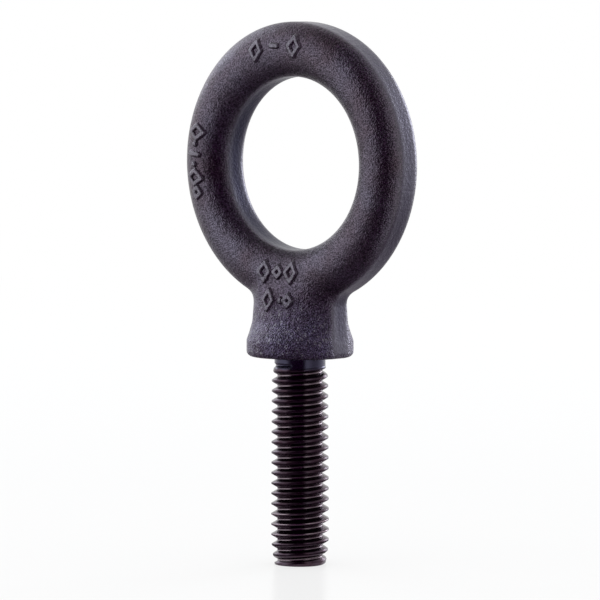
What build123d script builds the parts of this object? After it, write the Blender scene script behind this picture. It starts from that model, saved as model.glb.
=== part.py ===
from build123d import *
from math import atan2, degrees, radians, sqrt, tan
import os

# Shoulder eye bolt, 5/16 inch 18 UNC by 1 1/8 inch: one steel drop forging with a rolled
# thread. Frame: the shank's axis is Z, the eye lies in the XZ plane, and the origin is the
# point where that axis meets the shoulder's seating face. Lengths are in millimetres.

INCH = 25.4

# Eye. The bar is an oval in section. The trimming die shears off the flash and leaves a
# flat band of one width round the outside of the eye, neck and shoulder, and in the hole.
EYE_INNER_R = 11.8
EYE_OUTER_R = 19.3
EYE_CENTRE_Z = 26.45
EYE_HALF_THICK = 3.65
BAND_WIDTH = 2.86

# Shoulder and neck: half-widths in the plane of the eye, where the die trims them, and
# half-thicknesses across it.
SHOULDER_HALF_WIDTH = 7.4
SHOULDER_HALF_THICK = 7.0
SHOULDER_WALL = 1.8
NECK_HALF_WIDTH = 7.12
NECK_HALF_THICK = 4.45
CROTCH_R = 2.4
SEAT_EDGE_R = 0.8

# Thread, to the Unified standard: 60 degree flanks, crests P/8 wide, roots P/6 wide.
PITCH = INCH / 18
MAJOR_R = 5 / 16 * INCH / 2
ROOT_R = MAJOR_R - 0.6134 * PITCH
FLANK_ANGLE = 30
ROOT_HALF_WIDTH = PITCH / 12

# Shank. The blank's own diameter stays as a plain neck, and rolling raises the crests
# above it: they fill out below the neck, are full lower down, and thin out at the tip.
# Below the neck the groove climbs out of the blank in less than a turn.
SHANK_LENGTH = 1.125 * INCH
BLANK_R = 3.5
PLAIN_LENGTH = 1.3
FILL_LENGTH = 2.3
FILLED_R = 3.87
TIP_R = 3.5
TIP_LENGTH = 4.8
UNDERHEAD_R = 0.25
THREAD_END_Z = -1.91
THREAD_END_ANGLE = 40
RUN_OUT_TURNS = 0.7
CLEARANCE = 0.12

EYE_MEAN_R = (EYE_INNER_R + EYE_OUTER_R) / 2
EYE_BASE_Z = EYE_CENTRE_Z - EYE_MEAN_R
CROTCH_X = NECK_HALF_WIDTH + CROTCH_R
NECK_Z = EYE_CENTRE_Z - sqrt((EYE_OUTER_R + CROTCH_R) ** 2 - CROTCH_X**2)
EYE_SHARE = EYE_OUTER_R / (EYE_OUTER_R + CROTCH_R)
CROTCH_TOP = (CROTCH_X * EYE_SHARE, EYE_CENTRE_Z + (NECK_Z - EYE_CENTRE_Z) * EYE_SHARE)


def forged_half_width(trimmed, half_thick):
    """Half-width of the oval that is forged, so that trimming it leaves the band's width."""
    return trimmed / sqrt(1 - (BAND_WIDTH / 2 / half_thick) ** 2)


with BuildPart() as forging:
    # The eye as forged: an oval bar turned about the hole's axis.
    with BuildSketch(Plane.XY.offset(EYE_CENTRE_Z)):
        with Locations((EYE_MEAN_R, 0)):
            bar_width = EYE_OUTER_R - EYE_INNER_R
            Ellipse(forged_half_width(bar_width / 2, EYE_HALF_THICK), EYE_HALF_THICK)
    revolve(axis=Axis((0, 0, EYE_CENTRE_Z), (0, 1, 0)))

    # The shoulder is a short oval column, and the flare above it thins to the eye's bar:
    # (height, half-width, half-thickness) of each section.
    shoulder_a = forged_half_width(SHOULDER_HALF_WIDTH, SHOULDER_HALF_THICK)
    neck_a = forged_half_width(NECK_HALF_WIDTH, NECK_HALF_THICK)
    with BuildSketch():
        Ellipse(shoulder_a, SHOULDER_HALF_THICK)
    extrude(amount=SHOULDER_WALL)
    flare = [
        (SHOULDER_WALL, shoulder_a, SHOULDER_HALF_THICK),
        (2.3, shoulder_a, 6.9),
        (2.8, shoulder_a, 6.55),
        (3.4, shoulder_a, 5.95),
        (4.7, neck_a, 4.95),
        (NECK_Z, neck_a, NECK_HALF_THICK),
        (9.0, neck_a, 4.0),
        (EYE_BASE_Z, neck_a, 3.5),
    ]
    for height, half_width, half_thick in flare:
        with BuildSketch(Plane.XY.offset(height)):
            Ellipse(half_width, half_thick)
    loft()
    crotch_edges = forging.edges().filter_by_position(Axis.Z, NECK_Z, EYE_BASE_Z)
    fillet(crotch_edges, CROTCH_R)

    # The trimming die shears the flash off along one outline, from the seat round the eye,
    # and punches the hole.
    with BuildSketch(Plane.XZ):
        with BuildLine():
            seat = Line((0, 0), (SHOULDER_HALF_WIDTH, 0))
            wall = Line(seat @ 1, (SHOULDER_HALF_WIDTH, SHOULDER_WALL))
            step = SHOULDER_HALF_WIDTH - NECK_HALF_WIDTH
            rise = NECK_Z - SHOULDER_WALL
            flare_r = (step**2 + rise**2) / (2 * step)
            side = RadiusArc(wall @ 1, (NECK_HALF_WIDTH, NECK_Z), -flare_r)
            crotch = RadiusArc(side @ 1, CROTCH_TOP, CROTCH_R)
            eye_top = (0, EYE_CENTRE_Z + EYE_OUTER_R)
            ThreePointArc(crotch @ 1, (EYE_OUTER_R, EYE_CENTRE_Z), eye_top)
            mirror(about=Plane.YZ)
        make_face()
        with Locations((0, EYE_CENTRE_Z)):
            Circle(EYE_INNER_R, mode=Mode.SUBTRACT)
    extrude(amount=2 * SHOULDER_HALF_THICK, both=True, mode=Mode.INTERSECT)
    fillet(forging.faces().sort_by(Axis.Z)[0].edges(), SEAT_EDGE_R)

    # The blank of the shank: plain, raised to the crests, and tapered at the tip.
    with BuildSketch(Plane.XZ):
        with BuildLine():
            filled = (FILLED_R, -PLAIN_LENGTH - FILL_LENGTH)
            full = (MAJOR_R, TIP_LENGTH - SHANK_LENGTH)
            filling = TangentArc(filled, (BLANK_R, -PLAIN_LENGTH), tangent=(0, 1))
            thinning = TangentArc(full, (TIP_R, -SHANK_LENGTH), tangent=(0, -1))
            Line(filled, full)
            Polyline(
                filling @ 1,
                (BLANK_R, SHOULDER_WALL),
                (0, SHOULDER_WALL),
                (0, -SHANK_LENGTH),
                thinning @ 1,
            )
        make_face()
    revolve(axis=Axis.Z)
    seat_edges = forging.edges().filter_by_position(Axis.Z, -UNDERHEAD_R, UNDERHEAD_R)
    fillet(seat_edges.filter_by(GeomType.CIRCLE).sort_by(SortBy.LENGTH)[0], UNDERHEAD_R)

# The cutter of the groove is one helical channel, open past the crests. Each turn's four
# sides are ruled between the helices of its corners. The last one climbs out of the blank.
MOUTH_R = MAJOR_R + CLEARANCE
MOUTH_HALF_WIDTH = ROOT_HALF_WIDTH + (MOUTH_R - ROOT_R) * tan(radians(FLANK_ANGLE))


def corner_helices(height, rise, climb):
    """The helices of the groove's corners, from the XZ plane with its root at a height."""
    corners = [
        (ROOT_R, height - ROOT_HALF_WIDTH),
        (MOUTH_R, height - MOUTH_HALF_WIDTH),
        (MOUTH_R, height + MOUTH_HALF_WIDTH),
        (ROOT_R, height + ROOT_HALF_WIDTH),
    ]
    return [
        Edge.make_helix(PITCH, rise, radius, (0, 0, z), angle=climb)
        for radius, z in corners
    ]


run_out = RUN_OUT_TURNS * PITCH
climb_angle = degrees(atan2(BLANK_R - ROOT_R + CLEARANCE, run_out))
turns = int((SHANK_LENGTH + THREAD_END_Z) / PITCH) + 2
channel = [corner_helices(THREAD_END_Z - turn * PITCH, PITCH, 0) for turn in range(turns, 0, -1)]
channel.append(corner_helices(THREAD_END_Z, run_out, climb_angle))
walls = [
    Face.make_surface_from_curves(corner, next_corner)
    for turn in channel
    for corner, next_corner in zip(turn, turn[1:] + turn[:1])
]
mouth_end = Face(Wire.make_polygon([corner @ 0 for corner in channel[0]]))
blind_end = Face(Wire.make_polygon([corner @ 1 for corner in channel[-1]]))
groove = Solid(Shell([*walls, mouth_end, blind_end]))

with BuildPart() as eye_bolt:
    add(forging.part)
    add(groove, rotation=(0, 0, THREAD_END_ANGLE), mode=Mode.SUBTRACT)

os.makedirs("parts", exist_ok=True)
eye_bolt.part.label = "eye_bolt"
export_step(eye_bolt.part, "parts/eye_bolt.step")
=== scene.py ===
# %% [markdown]
# # A shoulder eye bolt in forged steel
# The real bolt starts as a hot steel bar. A drop hammer beats it into a pair of dies, a press trims the
# flash off round the outline and out of the hole, and the thread is rolled on the shank when the forging
# is cold. It is one piece of steel, so here it becomes one closed mesh that stands for the one solid of
# the CAD frame. The bolt is worked out in millimetres, like a maker's drawing, and its finished mesh is
# scaled to the frame's metres. The stage round it is placed in metres.

# %% The frame
import bmesh
import bpy
import numpy as np
from mathutils import Matrix, Vector
from math import cos, hypot, pi, radians, sin, sqrt, tan


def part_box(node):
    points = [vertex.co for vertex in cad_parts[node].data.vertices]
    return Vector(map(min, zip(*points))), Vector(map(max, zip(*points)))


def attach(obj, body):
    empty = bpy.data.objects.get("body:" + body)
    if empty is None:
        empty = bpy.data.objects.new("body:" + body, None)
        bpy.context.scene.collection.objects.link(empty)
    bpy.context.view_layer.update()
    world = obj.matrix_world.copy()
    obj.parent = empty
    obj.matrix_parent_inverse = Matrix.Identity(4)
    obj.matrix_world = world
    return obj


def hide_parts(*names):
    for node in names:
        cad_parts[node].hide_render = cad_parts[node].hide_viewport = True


MM = 0.001
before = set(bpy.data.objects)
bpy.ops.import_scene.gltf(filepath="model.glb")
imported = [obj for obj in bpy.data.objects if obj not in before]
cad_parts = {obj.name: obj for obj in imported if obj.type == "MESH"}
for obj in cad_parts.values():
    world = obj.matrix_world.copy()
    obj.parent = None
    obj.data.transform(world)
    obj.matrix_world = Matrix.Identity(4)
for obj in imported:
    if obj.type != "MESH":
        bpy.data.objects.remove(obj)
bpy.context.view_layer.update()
low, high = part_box("eye_bolt")
print("nodes:", sorted(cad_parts), "size in mm:", [round((b - a) / MM, 2) for a, b in zip(low, high)])

# %% [markdown]
# ## The bolt's sizes
# The values are the ones the solid is made from. They are a forger's sizes: the eye, the shoulder that is
# screwed down on the work, the waisted neck between them, and the flat band that the trimming die leaves
# all round.

# %% Sizes of the forging
EYE_INNER_R, EYE_OUTER_R, EYE_CENTRE_Z, EYE_HALF_THICK = 11.8, 19.3, 26.45, 3.65
BAND_WIDTH = 2.86
SHOULDER_HALF_WIDTH, SHOULDER_HALF_THICK, SHOULDER_WALL = 7.4, 7.0, 1.8
NECK_HALF_WIDTH, NECK_HALF_THICK = 7.12, 4.45
CROTCH_R, SEAT_EDGE_R, UNDERHEAD_R = 2.4, 0.8, 0.25

EYE_MEAN_R = (EYE_INNER_R + EYE_OUTER_R) / 2
EYE_BASE_Z = EYE_CENTRE_Z - EYE_MEAN_R
CROTCH_X = NECK_HALF_WIDTH + CROTCH_R
NECK_Z = EYE_CENTRE_Z - sqrt((EYE_OUTER_R + CROTCH_R) ** 2 - CROTCH_X**2)
print("neck is narrowest at z", round(NECK_Z, 2), "mm")

# %% [markdown]
# The thread's standard, 5/16 inch with 18 turns to the inch, fixes the pitch, the crests and the roots.
# The blank it is rolled on is thinner than the crests, because rolling pushes the steel up into them.

# %% Sizes of the thread
INCH = 25.4
PITCH = INCH / 18
MAJOR_R = 5 / 16 * INCH / 2
ROOT_R = MAJOR_R - 0.6134 * PITCH
ROOT_HALF_WIDTH = PITCH / 12
FLANK_SLOPE = 1 / tan(radians(30))
SHANK_LENGTH = 1.125 * INCH
BLANK_R, PLAIN_LENGTH = 3.5, 1.3
FILLED_R, FILL_LENGTH = 3.87, 2.3
TIP_R, TIP_LENGTH = 3.5, 4.8
THREAD_END_Z, THREAD_END_ANGLE, RUN_OUT_TURNS = -1.91, 40, 0.7
JOIN_Z = -0.9  # on the plain neck, where the head's mesh meets the thread's
print("pitch", round(PITCH, 3), "mm, root radius", round(ROOT_R, 3), "mm")

# %% [markdown]
# ## Small helpers
# Colours are picked as sRGB hex, and Blender wants them linear. Every node tree below is built with one
# function, which adds a node, sets its options and fills or links its sockets.

# %% Colour and node helpers
def linear(hex_colour):
    """An sRGB hex colour as linear RGBA."""
    channels = [int(hex_colour[i : i + 2], 16) / 255 for i in (1, 3, 5)]
    return (*[c / 12.92 if c <= 0.04045 else ((c + 0.055) / 1.055) ** 2.4 for c in channels], 1)


def add_node(tree, kind, sockets=None, **options):
    """Adds a node. A socket's value is a constant, or another node's output to link."""
    made = tree.nodes.new(kind)
    for name, value in options.items():
        setattr(made, name, value)
    for key, value in (sockets or {}).items():
        if isinstance(value, bpy.types.NodeSocket):
            tree.links.new(value, made.inputs[key])
        else:
            made.inputs[key].default_value = value
    return made


def empty_tree(owner):
    """The node tree of a material or world, with nothing in it."""
    owner.use_nodes = True
    owner.node_tree.nodes.clear()
    return owner.node_tree


print("middle grey, linear:", [round(c, 3) for c in linear("#808080")])

# %% [markdown]
# ## The camera
# The bolt is seen from its front right and slightly above, from far enough that the eye hardly narrows.
# A long lens does that: it is over seven times as long as the sensor is wide.

# %% Camera
CAMERA_AZIMUTH, CAMERA_ELEVATION, CAMERA_DISTANCE = radians(40.6), radians(4.0), 0.6
SENSOR_WIDTH = 36
AIM_Z = 0.00772
towards_camera = Vector((sin(CAMERA_AZIMUTH) * cos(CAMERA_ELEVATION),
                         -cos(CAMERA_AZIMUTH) * cos(CAMERA_ELEVATION), sin(CAMERA_ELEVATION)))
camera = bpy.data.objects.new("camera", bpy.data.cameras.new("camera"))
camera.data.sensor_width, camera.data.lens = SENSOR_WIDTH, 7.31 * SENSOR_WIDTH
camera.data.clip_start, camera.data.clip_end = 0.01, 1000
camera.location = Vector((0, 0, AIM_Z)) + towards_camera * CAMERA_DISTANCE
camera.rotation_euler = towards_camera.to_track_quat("Z", "Y").to_euler()
bpy.context.scene.collection.objects.link(camera)
bpy.context.scene.camera = camera
print("camera at, m:", [round(c, 3) for c in camera.location])

# %% [markdown]
# ## The shape of the head as a rule
# Eye, neck and shoulder could be modelled with subdivision surfaces, but a forging melts from one form
# into the next, and the trimmed band cuts straight across all of them. A rule for the distance to the
# surface describes both, and points can be moved on to the surface that the rule describes. It starts
# from two forms: the eye's oval bar, and a column whose oval flares from the neck to the shoulder. The
# column is drawn with a few stations, which are smoothed to a flowing line.

# %% The flaring column
def forged_half_width(trimmed, half_thick):
    """Half width of the oval that leaves a band of the right width when it is trimmed."""
    return trimmed / sqrt(1 - (BAND_WIDTH / 2 / half_thick) ** 2)


SHOULDER_OVAL = round(forged_half_width(SHOULDER_HALF_WIDTH, SHOULDER_HALF_THICK), 3)
NECK_OVAL = round(forged_half_width(NECK_HALF_WIDTH, NECK_HALF_THICK), 3)
# Height, half width and half thickness of the column, from below the seat up into the eye.
FLARE = np.array([
    (-1, SHOULDER_OVAL, SHOULDER_HALF_THICK), (SHOULDER_WALL, SHOULDER_OVAL, SHOULDER_HALF_THICK),
    (2.3, SHOULDER_OVAL, 6.97), (2.6, SHOULDER_OVAL, 6.68), (3.4, SHOULDER_OVAL, 5.95),
    (4.7, NECK_OVAL, 4.93), (NECK_Z, NECK_OVAL, 4.41), (8.0, NECK_OVAL, 4.15), (9.0, NECK_OVAL, 3.62),
    (10.0, NECK_OVAL, 2.8), (EYE_BASE_Z, NECK_OVAL, 1.5), (13, NECK_OVAL, 1.0),
])
FLARE_STEPS, SMOOTH_STEPS = 561, 17
flare_z = np.linspace(FLARE[0, 0], FLARE[-1, 0], FLARE_STEPS)
smooth = np.hanning(SMOOTH_STEPS) / np.hanning(SMOOTH_STEPS).sum()
flare_profile = []
for station_value in (1, 2):
    line = np.interp(flare_z, FLARE[:, 0], FLARE[:, station_value])
    flare_profile.append(np.convolve(np.pad(line, SMOOTH_STEPS // 2, "edge"), smooth, "valid"))
print("column's half thickness from", round(flare_profile[1].max(), 2), "to", round(flare_profile[1].min(), 2), "mm")

# %% [markdown]
# Two forms can meet in several ways, and each way is a formula on their distances. The soft union lets
# them melt together, and the rounded union and cut put a fillet or an edge radius where they meet.

# %% Ways for two forms to meet
def oval_distance(across, through, half_across, half_through):
    """Distance to an ellipse, good near its line."""
    scaled = np.hypot(across / half_across, through / half_through)
    slope = np.hypot(across / half_across**2, through / half_through**2)
    return scaled * (scaled - 1) / np.maximum(slope, 1e-9)


def soft_union(a, b, radius):
    share = np.maximum(radius - np.abs(a - b), 0) / radius
    return np.minimum(a, b) - share**2 * radius / 4


def rounded_union(a, b, radius):
    return np.maximum(radius, np.minimum(a, b)) - np.hypot(np.maximum(radius - a, 0), np.maximum(radius - b, 0))


def rounded_cut(a, b, radius):
    return -rounded_union(-a, -b, radius)


print("fillet of two crossing planes, 1 mm:", round(float(rounded_union(np.array(0.0), np.array(0.0), 1)), 3))

# %% [markdown]
# The trimming die's outline is drawn in the parting plane: the eye's circle, an arc in the crotch under
# it, and the neck's hollow side, which sweeps out to the shoulder. The hole is punched by the same die.

# %% The forged body and the die's outline
EYE_OVAL = forged_half_width((EYE_OUTER_R - EYE_INNER_R) / 2, EYE_HALF_THICK)
MIDDLE_BLEND_R, CROTCH_BLEND_R = 2.2, 1.2
BLEND_FROM_X, BLEND_TO_X = 4.5, 7.0


def forged_body(x, y, z):
    """The head as the dies leave it, before it is trimmed."""
    ring = oval_distance(np.hypot(x, z - EYE_CENTRE_Z) - EYE_MEAN_R, y, EYE_OVAL, EYE_HALF_THICK)
    wide, thick = [np.interp(z, flare_z, line) for line in flare_profile]
    column = np.maximum(oval_distance(x, y, wide, thick), z - EYE_BASE_Z)
    blend_r = np.interp(np.abs(x), (BLEND_FROM_X, BLEND_TO_X), (MIDDLE_BLEND_R, CROTCH_BLEND_R))
    return soft_union(ring, column, blend_r)


def die_outline(x, z):
    """Distance in the parting plane to the outline that the trimming die cuts."""
    x = np.abs(x)
    from_centre = np.hypot(x, z - EYE_CENTRE_Z)
    step, rise = SHOULDER_HALF_WIDTH - NECK_HALF_WIDTH, NECK_Z - SHOULDER_WALL
    sweep_r = (step**2 + rise**2) / (2 * step)
    below = np.clip(NECK_Z - z, 0, rise)
    side = x - (NECK_HALF_WIDTH + sweep_r - np.sqrt(sweep_r**2 - below**2))
    from_crotch = np.hypot(x - CROTCH_X, z - NECK_Z)
    to_eye = (EYE_CENTRE_Z - NECK_Z) * (x - CROTCH_X) + CROTCH_X * (z - NECK_Z)
    outer = np.where(z < NECK_Z, side, np.where(to_eye > 0, from_centre - EYE_OUTER_R, CROTCH_R - from_crotch))
    return np.maximum(outer, EYE_INNER_R - from_centre)


print("forged oval", round(EYE_OVAL, 2), "mm half width, trimmed to", (EYE_OUTER_R - EYE_INNER_R) / 2)

# %% [markdown]
# ## Raised marks
# Dies carry cut marks, which stand proud on the forging. Real ones name a maker and a size. These are
# plain diamonds, dashes and pips with no meaning, as tall and as bold as such marks are: strokes 0.6 mm
# wide and 0.3 mm high, with the soft edges that hot steel gives.

# %% Shapes of the marks
MARK_HEIGHT, MARK_HALF_WIDTH = 0.32, 0.3


def diamond(half_width, half_height):
    tips = ((0, half_height), (half_width, 0), (0, -half_height), (-half_width, 0))
    return [(tips[i], tips[(i + 1) % 4]) for i in range(4)]


tall, small = diamond(0.92, 1.25), diamond(0.68, 0.68)
dash, bar, pip = [((-0.55, 0), (0.55, 0))], [((0, -0.8), (0, 0.8))], [((0, -0.12), (0, 0.12))]
print("strokes in a diamond:", len(tall))

# %% [markdown]
# A mark is a few strokes in its own axes. It is turned so that its own up points where the row wants it,
# then moved to its place: over the top of the eye, down its left limb, and in two lines on the neck.

# %% Places of the marks
TOP_R, LIMB_R = 16.1, 16.15
UPPER_LINE_Z, LOWER_LINE_Z = 11.7, 7.9
strokes = []


def place_mark(shape, x, z, up):
    up = np.array(up) / hypot(*up)
    right = np.array((up[1], -up[0]))
    for stroke in shape:
        strokes.append([np.array((x, z)) + right * a + up * b for a, b in stroke])


for degrees, shape in ((107.5, tall), (95.5, dash), (83, tall)):
    turn = radians(degrees)
    place_mark(shape, TOP_R * cos(turn), EYE_CENTRE_Z + TOP_R * sin(turn), (0.05, 1))
for degrees, shape in ((165.5, tall), (171.5, pip), (176.5, bar), (181.5, pip), (188, tall), (195.5, small)):
    turn = radians(degrees)
    place_mark(shape, LIMB_R * cos(turn), EYE_CENTRE_Z + LIMB_R * sin(turn), (1, -0.1))
for x, shape in ((-3.3, tall), (-0.9, small), (1.4, tall)):
    place_mark(shape, x, UPPER_LINE_Z, (0, 1))
for x, shape in ((-2.2, tall), (0.1, pip), (1.4, small)):
    place_mark(shape, x, LOWER_LINE_Z, (0, 1))
print(len(strokes), "strokes")

# %% [markdown]
# A mark's height at a point depends only on how far the nearest stroke is: full over the stroke's middle,
# then down a smooth slope. The head's own rule follows the order of the work: the body is forged with
# its marks, trimmed, faced square at the seat, and joined to its shank with a small fillet.

# %% The rule for the head
BAND_EDGE_R = 0.15
SLOPE_START = 1.6  # the slope runs from 0.6 to 1.6 half widths off the stroke's middle
FAR_OFF = 9.0  # farther than any slope reaches


def mark_height(x, z):
    nearest = np.full(x.shape, FAR_OFF)
    for start, end in strokes:
        run = end - start
        along = np.clip(((x - start[0]) * run[0] + (z - start[1]) * run[1]) / run.dot(run), 0, 1)
        nearest = np.minimum(nearest, np.hypot(x - start[0] - along * run[0], z - start[1] - along * run[1]))
    rise = np.clip(SLOPE_START - nearest / MARK_HALF_WIDTH, 0, 1)
    return MARK_HEIGHT * rise * rise * (3 - 2 * rise)


def head_distance(points):
    """Distance to the finished head: forged, marked, trimmed, faced and joined to its shank."""
    x, y, z = points.T
    body = forged_body(x, y, z) - np.where(y < 0, mark_height(x, z), 0)
    trimmed = rounded_cut(body, die_outline(x, z), BAND_EDGE_R)
    faced = rounded_cut(trimmed, -z, SEAT_EDGE_R)
    stub = np.maximum(np.hypot(x, y) - BLANK_R, z - SHOULDER_WALL)
    return rounded_union(faced, stub, UNDERHEAD_R)


eye_top = np.array([[0, 0, EYE_CENTRE_Z + EYE_OUTER_R]])
print("the rule at the top of the eye, mm:", round(abs(float(head_distance(eye_top)[0])), 3))

# %% [markdown]
# ## The head's mesh
# The head starts as an even skin of small quads. Each point then steps along the slope of the rule, which
# is found by asking the rule a little to each side, until it lies on the surface.

# %% Tools for the head's mesh
ROUNDS, LONGEST_STEP = 6, 0.3
LEAST_STEEPNESS = 0.05  # keeps a step finite where the rule is almost level
ON_THE_CUT = 0.0001  # points this close to a cut count as lying on it


def slope_at(points, reach=0.01):
    steps = np.eye(3) * reach
    return np.stack([(head_distance(points + s) - head_distance(points - s)) / (2 * reach) for s in steps], 1)


def settle(shape):
    """Moves a shape's points on to the surface of the rule, and returns where they are."""
    points = np.array([v.co for v in shape.verts])
    for _ in range(ROUNDS):
        slope = slope_at(points)
        steps = head_distance(points) / np.maximum((slope**2).sum(1), LEAST_STEEPNESS)
        points = points - np.clip(steps, -LONGEST_STEP, LONGEST_STEP)[:, None] * slope
    for vert, place in zip(shape.verts, points):
        vert.co = place
    return points


def cut_below(shape, height):
    """Removes what is below a height and leaves the cut open."""
    bmesh.ops.bisect_plane(shape, geom=shape.verts[:] + shape.edges[:] + shape.faces[:], dist=ON_THE_CUT,
                           plane_co=(0, 0, height), plane_no=(0, 0, 1), clear_inner=True)
    shape.verts.index_update()
    shape.verts.ensure_lookup_table()


print(ROUNDS, "rounds of steps, none longer than", LONGEST_STEP, "mm")

# %% [markdown]
# The skin is made by a voxel remesh of the solid, finer than the flat facets of the CAD mesh. The solid is
# copied down to a little below the join, because the remesh rounds off the end of the copy.

# %% An even skin over the solid
VOXEL = 0.3
ROUGH_SPARE, SKIN_SPARE = 0.9, 0.4  # lengths of shank below the join, cut away in two goes
SAME_POINT = 0.001

rough = bmesh.new()
rough.from_mesh(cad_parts["eye_bolt"].data)
bmesh.ops.scale(rough, vec=(1 / MM, 1 / MM, 1 / MM), verts=rough.verts)
bmesh.ops.remove_doubles(rough, verts=rough.verts, dist=SAME_POINT)
cut_below(rough, JOIN_Z - ROUGH_SPARE)
bmesh.ops.holes_fill(rough, edges=[e for e in rough.edges if e.is_boundary])
head_mesh = bpy.data.meshes.new("head")
rough.to_mesh(head_mesh)
rough.free()
head = bpy.data.objects.new("head", head_mesh)
bpy.context.scene.collection.objects.link(head)
skin = head.modifiers.new("skin", "REMESH")
skin.mode, skin.voxel_size, skin.adaptivity = "VOXEL", VOXEL, 0
bpy.context.view_layer.update()
even_skin = bpy.data.meshes.new_from_object(head.evaluated_get(bpy.context.evaluated_depsgraph_get()))
bpy.data.objects.remove(head)
print("even skin:", len(even_skin.vertices), "points")

# %% [markdown]
# The skin's quads are too coarse for two things: the strokes of the marks and the narrow edges of the
# trimmed band. The quads there are divided, and all points settle once more.

# %% Finer quads at the marks and the band's edges
EDGE_REACH = 0.1
LEAST_RISE = 0.001
FRONT_Y = -1  # the marks stand only in front of this

bolt_shape = bmesh.new()
bolt_shape.from_mesh(even_skin)
cut_below(bolt_shape, JOIN_Z - SKIN_SPARE)
x, y, z = settle(bolt_shape).T
at_mark = (mark_height(x, z) > LEAST_RISE) & (y < FRONT_Y)
at_band_edge = (np.abs(die_outline(x, z)) < EDGE_REACH) & (np.abs(forged_body(x, y, z)) < EDGE_REACH)
mark_edges = {e for f in bolt_shape.faces if any(at_mark[v.index] for v in f.verts) for e in f.edges}
band_edges = {e for f in bolt_shape.faces if any(at_band_edge[v.index] for v in f.verts) for e in f.edges}
for edges, cuts in ((band_edges - mark_edges, 1), (mark_edges, 2)):
    bmesh.ops.subdivide_edges(bolt_shape, edges=list(edges), cuts=cuts, use_grid_fill=True)
gaps = np.abs(head_distance(settle(bolt_shape)))
cut_below(bolt_shape, JOIN_Z)
print("quads:", len(bolt_shape.faces), "farthest point from the rule, mm:", round(float(gaps.max()), 4))

# %% [markdown]
# ## The thread
# A rolled thread follows one rule: the radius at any height and angle is that of the blank, or of the
# groove where that is deeper. Geometry Nodes can lay a grid round the shank whose rows climb with the
# thread, so that rows run along its crests and roots, and one more row of the grid is one more step up
# the pitch. The groove climbs out at the top over part of a turn, where the rolling dies ended, and the
# blank is thinner there and at the tip, which the dies don't fill.

# %% Thread tree: inputs
THREAD_INPUTS = {
    "Pitch": PITCH, "Root radius": ROOT_R, "Root half width": ROOT_HALF_WIDTH, "Flank slope": FLANK_SLOPE,
    "Blank radius": BLANK_R, "Filled radius": FILLED_R, "Major radius": MAJOR_R, "Tip radius": TIP_R,
    "Plain length": PLAIN_LENGTH, "Fill length": FILL_LENGTH, "Tip length": TIP_LENGTH,
    "Shank length": SHANK_LENGTH, "Groove end height": THREAD_END_Z, "Groove end turn": THREAD_END_ANGLE / 360,
    "Run-out turns": RUN_OUT_TURNS, "Run-out depth": 0.1,
}
THREAD_COUNTS = {"Turns": 21, "Turns below end": 20, "Rows a turn": 12, "Columns": 96}
thread_tree = bpy.data.node_groups.new("rolled_thread", "GeometryNodeTree")
for name, value in THREAD_INPUTS.items():
    thread_tree.interface.new_socket(name, in_out="INPUT", socket_type="NodeSocketFloat").default_value = value
for name, value in THREAD_COUNTS.items():
    thread_tree.interface.new_socket(name, in_out="INPUT", socket_type="NodeSocketInt").default_value = value
thread_tree.interface.new_socket("Geometry", in_out="OUTPUT", socket_type="NodeSocketGeometry")
known = {socket.name: socket for socket in add_node(thread_tree, "NodeGroupInput").outputs if socket.name}
print("thread inputs:", len(known))

# %% [markdown]
# The arithmetic is written as recipes: a result's name, the operation, and what goes into it, which is an
# input, an earlier result or a number. A loop turns each line into a Math node. The first recipe sizes
# the grid and counts its rows in turns of the thread.

# %% Thread tree: the grid and its rows
place = add_node(thread_tree, "GeometryNodeInputPosition").outputs[0]
flat_place = add_node(thread_tree, "ShaderNodeSeparateXYZ", {0: place}).outputs
known |= {"grid across": flat_place["X"], "grid up": flat_place["Y"]}
grid_recipe = [
    ("grid height", "MULTIPLY", "Turns", "Pitch"),
    ("row count", "MULTIPLY_ADD", "Turns", "Rows a turn", 1),
    ("column count", "ADD", "Columns", 1),
    ("turn", "ADD", "grid across", 0.5),
    ("half turns", "MULTIPLY", "Turns", 0.5),
    ("grid turns", "DIVIDE", "grid up", "Pitch"),
    ("row turns", "ADD", "grid turns", "half turns"),
    ("whole turns", "FLOOR", "row turns"),
    ("part turn", "FRACT", "row turns"),
]
for result, operation, *terms in grid_recipe:
    sockets = {i: known.get(term, term) for i, term in enumerate(terms)}
    known[result] = add_node(thread_tree, "ShaderNodeMath", sockets, operation=operation).outputs[0]
grid = add_node(thread_tree, "GeometryNodeMeshGrid", {
    "Size X": 1, "Size Y": known["grid height"],
    "Vertices X": known["column count"], "Vertices Y": known["row count"]})
print("thread nodes:", len(thread_tree.nodes))

# %% [markdown]
# Even rows would miss the corners of the thread's section. A curve moves the rows of each turn to where
# the section bends: two at each edge of the root and of the crest, and one in the middle of each flank
# and of the crest. Half a turn is given, and the other half is its mirror image.

# %% Thread tree: rows at the bends
ROOT_EDGE, CREST_EDGE, BEND = 1 / 12, 7 / 16, 0.012  # in turns from the middle of the root
half_rows = [ROOT_EDGE - BEND, ROOT_EDGE + BEND, (ROOT_EDGE + CREST_EDGE) / 2, CREST_EDGE - BEND, CREST_EDGE + BEND]
row_places = half_rows + [0.5] + [1 - row_place for row_place in reversed(half_rows)]
bends = add_node(thread_tree, "ShaderNodeFloatCurve", {"Value": known["part turn"]})
for number, row_place in enumerate(row_places, 1):
    bends.mapping.curves[0].points.new(number / THREAD_COUNTS["Rows a turn"], row_place)
for point in bends.mapping.curves[0].points:
    point.handle_type = "VECTOR"
bends.mapping.update()
known["bent part"] = bends.outputs[0]
print("row places in a turn:", [round(row_place, 3) for row_place in row_places])

# %% [markdown]
# The groove's recipe turns rows into heights, which climb with the turn. It finds how far a row is from
# the middle of its groove, and how far round the groove has run past its full depth. Flanks rise from
# the flat root at 30 degrees from square. In the run-out the root climbs until it has almost left the
# bare blank, where it stops. The number 2 there lifts the groove clear of the shank where there is none.

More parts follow.
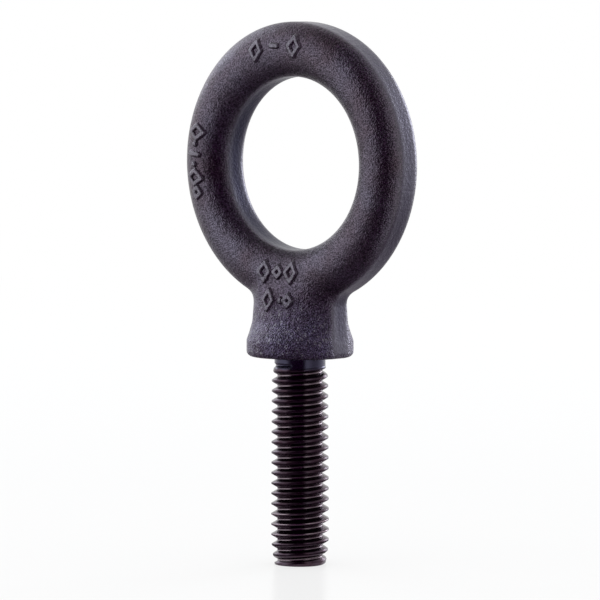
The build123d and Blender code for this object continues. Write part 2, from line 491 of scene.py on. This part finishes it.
# %% Thread tree: the groove
groove_recipe = [
    ("rows up", "ADD", "whole turns", "bent part"),
    ("groove number", "SUBTRACT", "rows up", "Turns below end"),
    ("end turn climb", "MULTIPLY", "Groove end turn", "Pitch"),
    ("first row", "SUBTRACT", "Groove end height", "end turn climb"),
    ("row height", "MULTIPLY_ADD", "groove number", "Pitch", "first row"),
    ("height", "MULTIPLY_ADD", "turn", "Pitch", "row height"),
    ("nearest groove", "ROUND", "groove number"),
    ("signed gap", "SUBTRACT", "groove number", "nearest groove"),
    ("gap in turns", "ABSOLUTE", "signed gap"),
    ("gap past root", "MULTIPLY", "gap in turns", "Pitch"),
    ("raw flank", "SUBTRACT", "gap past root", "Root half width"),
    ("flank run", "MAXIMUM", "raw flank", 0),
    ("past end", "SUBTRACT", "turn", "Groove end turn"),
    ("groove turns", "ADD", "past end", "nearest groove"),
    ("climb share", "DIVIDE", "groove turns", "Run-out turns"),
    ("climb from", "MAXIMUM", "climb share", 0),
    ("climb", "MINIMUM", "climb from", 1),
    ("blank depth", "SUBTRACT", "Blank radius", "Root radius"),
    ("climb height", "SUBTRACT", "blank depth", "Run-out depth"),
    ("no groove", "GREATER_THAN", "groove turns", "Run-out turns"),
    ("root", "MULTIPLY_ADD", "climb", "climb height", "Root radius"),
    ("root or none", "MULTIPLY_ADD", "no groove", 2, "root"),
    ("groove radius", "MULTIPLY_ADD", "flank run", "Flank slope", "root or none"),
]
print("groove steps:", len(groove_recipe))

# %% [markdown]
# The blank's recipe gives the radius the dies leave between grooves: the bare blank at the top, filled
# out over a short length, then nearly straight, and thinner again at the tip.

# %% Thread tree: the blank
blank_recipe = [
    ("depth", "MULTIPLY", "height", -1),
    ("below plain", "SUBTRACT", "depth", "Plain length"),
    ("raw fill", "DIVIDE", "below plain", "Fill length"),
    ("fill from", "MAXIMUM", "raw fill", 0),
    ("fill", "MINIMUM", "fill from", 1),
    ("unfilled", "SUBTRACT", 1, "fill"),
    ("unfilled squared", "MULTIPLY", "unfilled", "unfilled"),
    ("fill height", "SUBTRACT", "Blank radius", "Filled radius"),
    ("filled blank", "MULTIPLY_ADD", "fill height", "unfilled squared", "Filled radius"),
    ("fill end", "ADD", "Plain length", "Fill length"),
    ("tip start", "SUBTRACT", "Shank length", "Tip length"),
    ("straight length", "SUBTRACT", "tip start", "fill end"),
    ("below fill", "SUBTRACT", "depth", "fill end"),
    ("raw growth", "DIVIDE", "below fill", "straight length"),
    ("growth from", "MAXIMUM", "raw growth", 0),
    ("growth", "MINIMUM", "growth from", 1),
    ("growth height", "SUBTRACT", "Major radius", "Filled radius"),
    ("grown blank", "MULTIPLY_ADD", "growth height", "growth", "filled blank"),
    ("below tip start", "SUBTRACT", "depth", "tip start"),
    ("raw thinning", "DIVIDE", "below tip start", "Tip length"),
    ("thinning from", "MAXIMUM", "raw thinning", 0),
    ("thinning squared", "MULTIPLY", "thinning from", "thinning from"),
    ("tip depth", "SUBTRACT", "Tip radius", "Major radius"),
    ("blank surface", "MULTIPLY_ADD", "tip depth", "thinning squared", "grown blank"),
]
print("blank steps:", len(blank_recipe))

# %% [markdown]
# The smaller of the two radii is the thread. The last recipe wraps the grid round the axis at that
# radius. The tree ends by making its result real and giving it the thread's material.

# %% Thread tree: wrapped round the shank
wrap_recipe = [
    ("radius", "MINIMUM", "blank surface", "groove radius"),
    ("angle", "MULTIPLY", "turn", 2 * pi),
    ("cosine", "COSINE", "angle"),
    ("sine", "SINE", "angle"),
    ("x", "MULTIPLY", "radius", "cosine"),
    ("y", "MULTIPLY", "radius", "sine"),
]
for result, operation, *terms in groove_recipe + blank_recipe + wrap_recipe:
    sockets = {i: known.get(term, term) for i, term in enumerate(terms)}
    known[result] = add_node(thread_tree, "ShaderNodeMath", sockets, operation=operation).outputs[0]
wrapped = add_node(thread_tree, "ShaderNodeCombineXYZ", {"X": known["x"], "Y": known["y"], "Z": known["height"]})
moved = add_node(thread_tree, "GeometryNodeSetPosition",
                 {"Geometry": grid.outputs["Mesh"], "Position": wrapped.outputs[0]})
rolled_steel = bpy.data.materials.new("rolled_thread_oil_black")
plain = add_node(thread_tree, "GeometryNodeRealizeInstances", {0: moved.outputs[0]})
finished = add_node(thread_tree, "GeometryNodeSetMaterial", {"Geometry": plain.outputs[0], "Material": rolled_steel})
add_node(thread_tree, "NodeGroupOutput", {0: finished.outputs[0]})
print("thread nodes:", len(thread_tree.nodes))

# %% [markdown]
# The tree runs as a modifier on an empty mesh. Its evaluated result is copied to a plain mesh, and then
# the modifier is no longer needed.

# %% The thread as a plain mesh
shank = bpy.data.objects.new("shank", bpy.data.meshes.new("shank"))
bpy.context.scene.collection.objects.link(shank)
rolling = shank.modifiers.new("rolling", "NODES")
rolling.node_group = thread_tree
for item in thread_tree.interface.items_tree:
    if item.in_out == "INPUT":
        rolling[item.identifier] = {**THREAD_INPUTS, **THREAD_COUNTS}[item.name]
bpy.context.view_layer.update()
thread_mesh = bpy.data.meshes.new_from_object(shank.evaluated_get(bpy.context.evaluated_depsgraph_get()))
shank.modifiers.remove(rolling)
bpy.data.objects.remove(shank)
print("thread:", len(thread_mesh.vertices), "points,", len(thread_mesh.polygons), "quads")

# %% [markdown]
# ## One closed forging
# The grid's two long edges meet one pitch apart, so merging their points closes the seam. The shank is
# cut square at the foot, as the bar was cropped, and its top loop is bridged to the head's loop on the
# plain neck, where both are the same circle.

# %% Trim, cap and join
BRIDGE_GAP, SEAM_GAP = 0.12, 0.002

threaded = bmesh.new()
threaded.from_mesh(thread_mesh)
bmesh.ops.remove_doubles(threaded, verts=threaded.verts, dist=SEAM_GAP)
for cut_height, cut_below_it in ((JOIN_Z - BRIDGE_GAP, False), (-SHANK_LENGTH, True)):
    bmesh.ops.bisect_plane(threaded, geom=threaded.verts[:] + threaded.edges[:] + threaded.faces[:],
                           dist=ON_THE_CUT, plane_co=(0, 0, cut_height), plane_no=(0, 0, 1),
                           clear_inner=cut_below_it, clear_outer=not cut_below_it)
foot_loop = [e for e in threaded.edges if e.is_boundary and e.verts[0].co.z < -SHANK_LENGTH / 2]
bmesh.ops.edgeloop_fill(threaded, edges=foot_loop)
threaded.to_mesh(thread_mesh)
threaded.free()

bolt_shape.from_mesh(thread_mesh)
bmesh.ops.bridge_loops(bolt_shape, edges=[e for e in bolt_shape.edges if e.is_boundary])
bmesh.ops.recalc_face_normals(bolt_shape, faces=bolt_shape.faces)
print("open edges left:", len([e for e in bolt_shape.edges if not e.is_manifold]))
bolt_mesh = bpy.data.meshes.new("forged_eye_bolt")
bolt_shape.to_mesh(bolt_mesh)
bolt_shape.free()

# %% [markdown]
# ## Data that the finish needs
# The materials need to know where the trimmed band is, where its edges are and where the marks stand
# proud. The rules already say so, so their answers are stored on the points, from 0 for no to 1 for yes.

# %% Facts about the head
BAND_FADE = (-0.08, -0.02)  # how far inside the die's outline the scale gives way to the band
HOLE_FADE = 0.5  # over this much of the eye's section, inside its middle, the hole's band begins
EDGE_PALE_WIDTH = 0.3  # how far from an edge the pale colour reaches: rubbed scale and a painted edge highlight
SHEARED_Z = (14, 24)  # the shears' lines start at the lower height and are full from the upper one
COARSE_Z = (4.5, 11.0)  # coarse scale is full below the lower height and ends at the upper one
CLEAR_OF_JOIN = 0.05

points = np.array([v.co for v in bolt_mesh.vertices])
x, y, z = points.T
on_head = z > JOIN_Z + CLEAR_OF_JOIN
outline_gap = die_outline(x, z)
from_eye = np.hypot(x, z - EYE_CENTRE_Z)
band = np.interp(outline_gap, BAND_FADE, (0, 1)) * on_head
facts = {
    "trimmed_band": band,
    "sheared": band * (from_eye > EYE_MEAN_R) * np.interp(z, SHEARED_Z, (0, 1)),
    "hole_band_shade": band * np.interp(from_eye, (EYE_MEAN_R - HOLE_FADE, EYE_MEAN_R), (1, 0)),
    # band_edge: where the band's edges are pale, rubbed scale and a painted edge highlight
    "band_edge": np.exp(-((forged_body(x, y, z) / EDGE_PALE_WIDTH) ** 2) - (outline_gap / EDGE_PALE_WIDTH) ** 2) * on_head,
    "raised_mark": mark_height(x, z) / MARK_HEIGHT * (y < 0) * on_head,
    "coarse_scale": (1 - band) * np.interp(z, COARSE_Z, (1, 0)),
}
print("points on the band:", int((band > 0.5).sum()), "of", len(points))

# %% [markdown]
# The thread's crests and roots are known by their radius, and the plain neck by its height and radius.

# %% Facts about the shank
SAME_R = 0.012  # closer than this, a radius counts as the crest's or the root's
SHANK_R = MAJOR_R + 0.05  # the whole shank is nearer the axis than this
PLAIN_R = BLANK_R + 0.1  # and its plain neck is nearer than this
THREAD_TOP_Z = THREAD_END_Z + 0.4  # just above the end of the groove
NECK_FADE = 0.5  # height over which the thread's tone gives way to the plain neck's

from_axis = np.hypot(x, y)
in_thread = (z < THREAD_TOP_Z) * (from_axis < SHANK_R)
crest = (from_axis > MAJOR_R - SAME_R) * in_thread
root = (from_axis < ROOT_R + SAME_R) * in_thread
# Painted highlights: full on the crests, half on the roots.
facts["painted_thread_highlight"] = np.maximum(crest, 0.5 * root)
facts["plain_neck"] = np.interp(z, (THREAD_END_Z, THREAD_END_Z + NECK_FADE), (0, 1)) * (from_axis < PLAIN_R)
for name, values in facts.items():
    bolt_mesh.attributes.new(name, "FLOAT", "POINT").data.foreach_set("value", values.astype(np.float32))
print("facts:", sorted(facts))

# %% [markdown]
# Everything is drawn smooth. On the head, the rule's own slope is stored as the direction the surface
# faces, which keeps the narrow edges of the band crisp and even. The shank takes the thread's material
# below the seat. The mesh is then scaled from millimetres to metres.

# %% Normals, materials and the bolt itself
forge_scale = bpy.data.materials.new("forge_scale_on_drop_forged_steel")
bolt_mesh.materials.clear()
bolt_mesh.materials.append(forge_scale)
bolt_mesh.materials.append(rolled_steel)
centres = np.array([face.center for face in bolt_mesh.polygons])
is_shank = (centres[:, 2] < -0.02) & (np.hypot(centres[:, 0], centres[:, 1]) < SHANK_R)
bolt_mesh.polygons.foreach_set("material_index", is_shank.astype(np.int32))
bolt_mesh.polygons.foreach_set("use_smooth", np.ones(len(is_shank), bool))
slopes = slope_at(points, reach=0.02)
lengths = np.maximum(np.linalg.norm(slopes, axis=1), 1e-9)
normals = np.where(on_head[:, None], slopes / lengths[:, None], 0)  # zero leaves Blender's own normal
bolt_mesh.normals_split_custom_set_from_vertices(normals)
bolt_mesh.transform(Matrix.Scale(MM, 4))
bolt_mesh.update()
bolt = bpy.data.objects.new("forged_eye_bolt", bolt_mesh)
bpy.context.scene.collection.objects.link(bolt)
print("bolt:", sum(len(face.vertices) - 2 for face in bolt_mesh.polygons), "triangles")

# %% [markdown]
# ## Forge scale
# Steel that cools after forging keeps a thin hard skin of black iron oxide, called scale. Tumbling takes
# the loose scale off. What is left is a dark grey with a purple cast, dull but not dead. Its patterns
# have their own sizes: wide clouds of tone, soft dents like orange peel, the grain of the skin, and pits.

# %% Forge scale: patterns
# Sizes in mm. Real grain is about 0.1 mm, too fine to show, so it is drawn twice as coarse.
CLOUD, PEEL, GRAIN, PIT, FLAKE, SHEAR_LINE = 6, 1.3, 0.2, 0.45, 0.55, 0.6


def pattern_scale(size):
    """A texture's scale for spots of this size in mm."""
    return 1 / (size * MM)


tree = empty_tree(forge_scale)
spot = add_node(tree, "ShaderNodeTexCoord").outputs["Object"]
cloud = add_node(tree, "ShaderNodeTexNoise",
                 {"Vector": spot, "Scale": pattern_scale(CLOUD), "Detail": 3, "Roughness": 0.55})
peel = add_node(tree, "ShaderNodeTexNoise",
                {"Vector": spot, "Scale": pattern_scale(PEEL), "Detail": 3, "Roughness": 0.6})
grain = add_node(tree, "ShaderNodeTexNoise",
                 {"Vector": spot, "Scale": pattern_scale(GRAIN), "Detail": 1, "Roughness": 0.5})
pits = add_node(tree, "ShaderNodeTexVoronoi", {"Vector": spot, "Scale": pattern_scale(PIT), "Randomness": 1})
flakes = add_node(tree, "ShaderNodeTexNoise",
                  {"Vector": spot, "Scale": pattern_scale(FLAKE), "Detail": 4, "Roughness": 0.7})
head_facts = ("trimmed_band", "sheared", "hole_band_shade", "band_edge", "raised_mark", "coarse_scale")
fact = {name: add_node(tree, "ShaderNodeAttribute", attribute_name=name).outputs["Fac"] for name in head_facts}
print("patterns of", CLOUD, PEEL, GRAIN, PIT, FLAKE, "and", SHEAR_LINE, "mm")

# %% [markdown]
# The skin's colour is cloudy, and the grain makes it lighter and darker. Towards the shoulder, where the
# scale is coarser, it turns a little bluer. The shears of the trimming die left cleaner steel, so the scale
# on the band grew thinner and bluer. Inside the hole the band is painted much darker: painted shade in the hole.

# %% Forge scale: colours of the skin and the band
# A Mix node for colours takes them at inputs 6 and 7 and gives its result at output 2.
cloud_colour = add_node(tree, "ShaderNodeValToRGB", {"Fac": cloud.outputs["Fac"]})
for stop, position, colour in zip(cloud_colour.color_ramp.elements, (0.3, 0.7), ("#524750", "#5f5a67")):
    stop.position, stop.color = position, linear(colour)
grain_light = add_node(tree, "ShaderNodeMapRange", {
    "Value": grain.outputs["Fac"], "From Min": 0.35, "From Max": 0.68, "To Min": 0.4, "To Max": 1.6})
grained = add_node(tree, "ShaderNodeVectorMath", {0: cloud_colour.outputs[0], 1: grain_light.outputs[0]},
                   operation="MULTIPLY")
coarse_tint = add_node(tree, "ShaderNodeMix",
                       {"Factor": fact["coarse_scale"], 6: (1, 1, 1, 1), 7: (0.98, 0.96, 1.2, 1)}, data_type="RGBA")
tinted = add_node(tree, "ShaderNodeVectorMath", {0: grained.outputs[0], 1: coarse_tint.outputs[2]},
                  operation="MULTIPLY")
band_light = add_node(tree, "ShaderNodeMapRange", {
    "Value": grain.outputs["Fac"], "From Min": 0.35, "From Max": 0.68, "To Min": 0.8, "To Max": 1.2})
band_colour = add_node(tree, "ShaderNodeMix",
                       # Inside the hole the band's colour is very dark: painted shade, with the band's bluer tint.
                       {"Factor": fact["hole_band_shade"], 6: linear("#595666"), 7: linear("#1c1b38")}, data_type="RGBA")
band_grained = add_node(tree, "ShaderNodeVectorMath", {0: band_colour.outputs[2], 1: band_light.outputs[0]},
                        operation="MULTIPLY")
banded = add_node(tree, "ShaderNodeMix",
                  {"Factor": fact["trimmed_band"], 6: tinted.outputs[0], 7: band_grained.outputs[0]},
                  data_type="RGBA")
print("forge scale nodes so far:", len(tree.nodes))

# %% [markdown]
# The scale is pale along the band's edges, partly rubbed and partly a painted highlight on the edges.
# Handling rubs it pale on top of the marks, and on the coarse scale of the shoulder it comes off in small flakes.

# %% Forge scale: pale places, worn and with painted edge highlights
PALE_SHARE = 0.4  # how much of the pale colour shows where it is strongest: wear, and the painted edge highlight

flaked = add_node(tree, "ShaderNodeMapRange", {
    "Value": flakes.outputs["Fac"], "From Min": 0.55, "From Max": 0.63, "To Min": 0, "To Max": 1.9})
flakes_off = add_node(tree, "ShaderNodeMath", {0: flaked.outputs[0], 1: fact["coarse_scale"]}, operation="MULTIPLY")
rubbed_or_highlit = add_node(tree, "ShaderNodeMath", {0: fact["band_edge"], 1: fact["raised_mark"]}, operation="MAXIMUM")
wear_and_edge_highlight = add_node(tree, "ShaderNodeMath", {0: rubbed_or_highlit.outputs[0], 1: flakes_off.outputs[0]}, operation="MAXIMUM")
pale_share = add_node(tree, "ShaderNodeMath", {0: wear_and_edge_highlight.outputs[0], 1: PALE_SHARE}, operation="MULTIPLY")
worn_and_highlit = add_node(tree, "ShaderNodeMix", {"Factor": pale_share.outputs[0], 6: banded.outputs[2], 7: linear("#8a8890")},
                data_type="RGBA")
print("forge scale nodes so far:", len(tree.nodes))

# %% [markdown]
# The finest relief is left to the shader: lines that the shears drew across the outer band, then the
# peel, the grain and the pits, each on top of the one before. The scale is roughest at the shoulder and
# much smoother on the band. Under it the steel still reflects like a metal, through a rough skin.

# %% Forge scale: relief and shader
drawn_out = add_node(tree, "ShaderNodeVectorMath", {0: spot, 1: (1, 0.07, 1)}, operation="MULTIPLY")
shear_lines = add_node(tree, "ShaderNodeTexNoise",
                       {"Vector": drawn_out.outputs[0], "Scale": pattern_scale(SHEAR_LINE), "Detail": 2})
shear_depth = add_node(tree, "ShaderNodeMapRange", {"Value": fact["sheared"], "To Min": 0, "To Max": 0.12 * MM})
peel_depth = add_node(tree, "ShaderNodeMapRange",
                      {"Value": fact["coarse_scale"], "To Min": 0.1 * MM, "To Max": 0.45 * MM})
grain_depth = add_node(tree, "ShaderNodeMapRange",
                       {"Value": fact["coarse_scale"], "To Min": 0.09 * MM, "To Max": 0.26 * MM})
roughened = add_node(tree, "ShaderNodeMapRange", {"Value": fact["trimmed_band"], "To Min": 0.85, "To Max": 0.28})
sheared = add_node(tree, "ShaderNodeBump", {
    "Height": shear_lines.outputs["Fac"], "Strength": 0.7, "Distance": shear_depth.outputs[0]})
peeled = add_node(tree, "ShaderNodeBump", {
    "Height": peel.outputs["Fac"], "Strength": roughened.outputs[0], "Distance": peel_depth.outputs[0],
    "Normal": sheared.outputs[0]})
grainy = add_node(tree, "ShaderNodeBump", {
    "Height": grain.outputs["Fac"], "Strength": roughened.outputs[0], "Distance": grain_depth.outputs[0],
    "Normal": peeled.outputs[0]})
pitted = add_node(tree, "ShaderNodeBump", {
    "Height": pits.outputs["Distance"], "Strength": 0.4, "Distance": 0.07 * MM, "Normal": grainy.outputs[0]})
dull = add_node(tree, "ShaderNodeMapRange", {"Value": fact["coarse_scale"], "To Min": 0.33, "To Max": 0.3})
shader = add_node(tree, "ShaderNodeBsdfPrincipled", {
    "Base Color": worn_and_highlit.outputs[2], "Metallic": 1, "Roughness": dull.outputs[0], "Normal": pitted.outputs[0]})
add_node(tree, "ShaderNodeOutputMaterial", {"Surface": shader.outputs[0]})
print("forge scale nodes:", len(tree.nodes))

# %% [markdown]
# ## Rolled thread
# Rolling dies burnish the steel, so crests, flanks and roots are smoother than the forging. The black of
# the oil bath is deeper there and a little brown. Thin pale lines are painted along the crests, and fainter
# ones along the roots: painted highlights. The plain neck above the thread wasn't rolled, and stays a bluer grey.

# %% Rolled thread material
SMEAR, TOOTH = 1.5, 0.3  # sizes of the smears of tone and of the finest roughness, in mm

tree = empty_tree(rolled_steel)
spot = add_node(tree, "ShaderNodeTexCoord").outputs["Object"]
fact = {name: add_node(tree, "ShaderNodeAttribute", attribute_name=name).outputs["Fac"]
        for name in ("plain_neck", "painted_thread_highlight")}
smears = add_node(tree, "ShaderNodeTexNoise",
                  {"Vector": spot, "Scale": pattern_scale(SMEAR), "Detail": 4, "Roughness": 0.6})
smeared = add_node(tree, "ShaderNodeValToRGB", {"Fac": smears.outputs["Fac"]})
for stop, position, colour in zip(smeared.color_ramp.elements, (0.3, 0.7), ("#402d37", "#4c414b")):
    stop.position, stop.color = position, linear(colour)
toned = add_node(tree, "ShaderNodeMix", {"Factor": fact["plain_neck"], 6: smeared.outputs[0], 7: linear("#434152")},
                 data_type="RGBA")
# Painted highlights: a pale colour along the crests and roots.
painted_thread_highlight = add_node(tree, "ShaderNodeMix", {"Factor": fact["painted_thread_highlight"], 6: toned.outputs[2], 7: linear("#988a90")},
                     data_type="RGBA")
teeth = add_node(tree, "ShaderNodeTexNoise", {"Vector": spot, "Scale": pattern_scale(TOOTH), "Detail": 2})
toothed = add_node(tree, "ShaderNodeBump", {"Height": teeth.outputs["Fac"], "Strength": 0.25, "Distance": 0.03 * MM})
shader = add_node(tree, "ShaderNodeBsdfPrincipled", {
    "Base Color": painted_thread_highlight.outputs[2], "Metallic": 1, "Roughness": 0.22, "Normal": toothed.outputs[0]})
add_node(tree, "ShaderNodeOutputMaterial", {"Surface": shader.outputs[0]})
print("thread nodes:", len(tree.nodes))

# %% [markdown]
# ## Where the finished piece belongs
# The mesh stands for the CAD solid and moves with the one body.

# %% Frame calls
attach(bolt, "root")
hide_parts("eye_bolt")
print("bolt stands for", "eye_bolt")

# %% [markdown]
# ## The white sheet
# The bolt stands on its foot on a white sheet in a white light tent. Near the foot the sheet keeps a
# part of its own shading, which shows the bolt's shadow, and has a slight gloss, which mirrors the foot.
# Farther off it fades into an even glow and is quite matt, so that it runs into the white of the tent
# and shows neither an edge nor the lamps. What it throws on the bolt is always its matt white.

# %% White sheet
FLOOR_HALF = 20

floor_mesh = bpy.data.meshes.new("floor")
floor_corners = [(x * FLOOR_HALF, y * FLOOR_HALF, low[2]) for x, y in ((-1, -1), (1, -1), (1, 1), (-1, 1))]
floor_mesh.from_pydata(floor_corners, [], [(0, 1, 2, 3)])
floor = bpy.data.objects.new("floor", floor_mesh)
bpy.context.scene.collection.objects.link(floor)
white_sheet = bpy.data.materials.new("white_sheet")
floor_mesh.materials.append(white_sheet)
tree = empty_tree(white_sheet)
spot = add_node(tree, "ShaderNodeTexCoord").outputs["Object"]
from_foot = add_node(tree, "ShaderNodeVectorMath", {0: spot}, operation="LENGTH").outputs["Value"]
gloss = add_node(tree, "ShaderNodeMapRange", {
    "Value": from_foot, "From Min": 0.06, "From Max": 0.12, "To Min": 0.3, "To Max": 0})
matt = add_node(tree, "ShaderNodeBsdfDiffuse", {"Color": linear("#e8e8e8")})
sheen = add_node(tree, "ShaderNodeBsdfGlossy", {"Color": linear("#ffffff"), "Roughness": 0.16})
paper = add_node(tree, "ShaderNodeMixShader", {0: gloss.outputs[0], 1: matt.outputs[0], 2: sheen.outputs[0]})
print("sheet at z", round(low[2], 5), "m")

# %% [markdown]
# The glow is only for rays that look at the sheet: the camera's, and those that come from a mirror image
# or through something clear.

# %% Glow of the white sheet
path = add_node(tree, "ShaderNodeLightPath").outputs
looked_at = add_node(tree, "ShaderNodeMath", {0: path["Is Camera Ray"], 1: path["Is Glossy Ray"]}, operation="ADD")
seen = add_node(tree, "ShaderNodeMath", {0: looked_at.outputs[0], 1: path["Is Transmission Ray"]}, operation="ADD")
fade = add_node(tree, "ShaderNodeMapRange", {
    "Value": from_foot, "From Min": 0.1, "From Max": 0.6, "To Min": 0.7, "To Max": 1.0})
share = add_node(tree, "ShaderNodeMath", {0: seen.outputs[0], 1: fade.outputs[0]}, operation="MULTIPLY",
                 use_clamp=True)
glow = add_node(tree, "ShaderNodeEmission", {"Color": (1, 1, 1, 1), "Strength": 1.0})
glowing = add_node(tree, "ShaderNodeMixShader", {0: share.outputs[0], 1: paper.outputs[0], 2: glow.outputs[0]})
add_node(tree, "ShaderNodeOutputMaterial", {"Surface": glowing.outputs[0]})
print("sheet nodes:", len(tree.nodes))

# %% [markdown]
# ## The black card
# Bare black steel is shown by what it reflects, so a white tent alone would leave it flat. A black card
# round the lens gives the front its dark tone, and a gap to the right of the lens lets a strip of the
# tent through. The card is a bowl: from the foot outwards along the sheet, up a wall, and in over the
# top. Its front right part stands close to the bolt, so that the wide eye mirrors it from another angle
# than the slim shank does. At the left and at the back the wall thins out to nothing, and the lamps show.

# %% Shape and darkness of the card
card_sides = np.linspace(-180, 180, 97)  # degrees to the right of the lens
wall_dark = np.interp(card_sides, (-61, -47, 18, 29, 62, 85, 105), (0, 1, 1, 0.1, 0.6, 0.5, 0))
floor_dark = np.interp(card_sides, (-180, 95, 135, 180), (0.92, 0.92, 0.6, 0.92))
roof_dark = np.interp(np.abs(card_sides), (60, 112, 180), (0.9, 0.6, 0.25))
wall_reach = np.interp(card_sides, (-35, 0, 34, 65), (1, 0.16, 0.16, 1))  # share of the wall's full radius
WALL_FROM_R = 0.1  # rings wider than this belong to the wall and the roof, and are pulled in
card_z = low[2] + 0.0004  # just clear of the sheet
# Each ring's radius and height, and its darkness on every side.
card_rings = [
    (0.0047, card_z, 0.95 * floor_dark), (0.025, card_z, floor_dark), (0.035, card_z, 0.9 * floor_dark),
    (0.25, card_z, wall_dark), (0.25, 0.12, wall_dark), (0.21, 0.24, np.maximum(wall_dark, roof_dark / 2)),
    (0.11, 0.32, roof_dark), (0.0, 0.34, np.full(len(card_sides), 0.65)),
]
print("card:", len(card_rings), "rings of", len(card_sides), "corners")

# %% [markdown]
# The rings' corners are joined to panels, and each corner keeps its darkness.

# %% The card's mesh
corners, darkness = [], []
for side, reach, *darks in zip(card_sides, wall_reach, *[dark for _, _, dark in card_rings]):
    turn = CAMERA_AZIMUTH + radians(side)
    for (ring_r, height, _), dark in zip(card_rings, darks):
        r = ring_r * reach if ring_r > WALL_FROM_R else ring_r
        corners.append((r * sin(turn), -r * cos(turn), height))
        darkness.append(dark)
row = len(card_rings)
starts = [step * row + k for step in range(len(card_sides) - 1) for k in range(row - 1)]
panels = [(start, start + 1, start + row + 1, start + row) for start in starts]
card_mesh = bpy.data.meshes.new("black_card")
card_mesh.from_pydata(corners, [], panels)
card_mesh.attributes.new("shade", "FLOAT", "POINT").data.foreach_set("value", np.array(darkness, np.float32))
card = bpy.data.objects.new("black_card", card_mesh)
bpy.context.scene.collection.objects.link(card)
print("card:", len(panels), "panels")

# %% [markdown]
# The card is there only for what the bolt and the sheet mirror, so the camera looks through it and it
# casts no shadow. Its velvet is as thin as a gauze where it is less dark, and clear when it is seen from
# outside. It isn't quite black: its dull purple gives the dark side of the steel part of its cast.

# %% The card's velvet
card.visible_camera = card.visible_diffuse = card.visible_shadow = False
black_velvet = bpy.data.materials.new("black_velvet")
card_mesh.materials.append(black_velvet)
tree = empty_tree(black_velvet)
shade = add_node(tree, "ShaderNodeAttribute", attribute_name="shade").outputs["Fac"]
outside = add_node(tree, "ShaderNodeNewGeometry").outputs["Backfacing"]
inside = add_node(tree, "ShaderNodeMath", {0: 1, 1: outside}, operation="SUBTRACT")
cover = add_node(tree, "ShaderNodeMath", {0: shade, 1: inside.outputs[0]}, operation="MULTIPLY")
gauze = add_node(tree, "ShaderNodeBsdfTransparent")
velvet = add_node(tree, "ShaderNodeBsdfDiffuse", {"Color": linear("#431a42")})
covered = add_node(tree, "ShaderNodeMixShader", {0: cover.outputs[0], 1: gauze.outputs[0], 2: velvet.outputs[0]})
add_node(tree, "ShaderNodeOutputMaterial", {"Surface": covered.outputs[0]})
print("velvet nodes:", len(tree.nodes))

# %% [markdown]
# ## Lamps and tent
# Three softboxes stand round the bolt where the card is open: at the back right, at the left, and at the
# back left. They are slightly blue, like flash tubes behind white cloth. The tent is an even white world.

# %% Lamps and world
LAMP_DISTANCE, LAMP_AIM_Z = 0.8, 0.008


def softbox(name, side, elevation, size, power, colour):
    """A square lamp aimed at the bolt, turned to the right of the lens by its side in degrees."""
    turn, rise = CAMERA_AZIMUTH + radians(side), radians(elevation)
    towards = Vector((sin(turn) * cos(rise), -cos(turn) * cos(rise), sin(rise)))
    lamp = bpy.data.objects.new(name, bpy.data.lights.new(name, "AREA"))
    lamp.data.size, lamp.data.energy, lamp.data.color = size, power, colour
    lamp.location = towards * LAMP_DISTANCE + Vector((0, 0, LAMP_AIM_Z))
    lamp.rotation_euler = towards.to_track_quat("Z", "Y").to_euler()
    bpy.context.scene.collection.objects.link(lamp)


softbox("right_softbox", 134, 12, 0.4, 2.0, (0.88, 0.92, 1))
softbox("left_softbox", -86, 12, 0.8, 1.1, (0.85, 0.93, 1))
softbox("back_left_softbox", -138, 24, 0.4, 0.9, (0.85, 0.93, 1))
world = bpy.data.worlds.new("studio")
bpy.context.scene.world = world
tree = empty_tree(world)
tent = add_node(tree, "ShaderNodeBackground", {"Color": (1, 1, 1, 1), "Strength": 1.0})
add_node(tree, "ShaderNodeOutputWorld", {"Surface": tent.outputs[0]})
bpy.context.scene.view_settings.view_transform = "Standard"
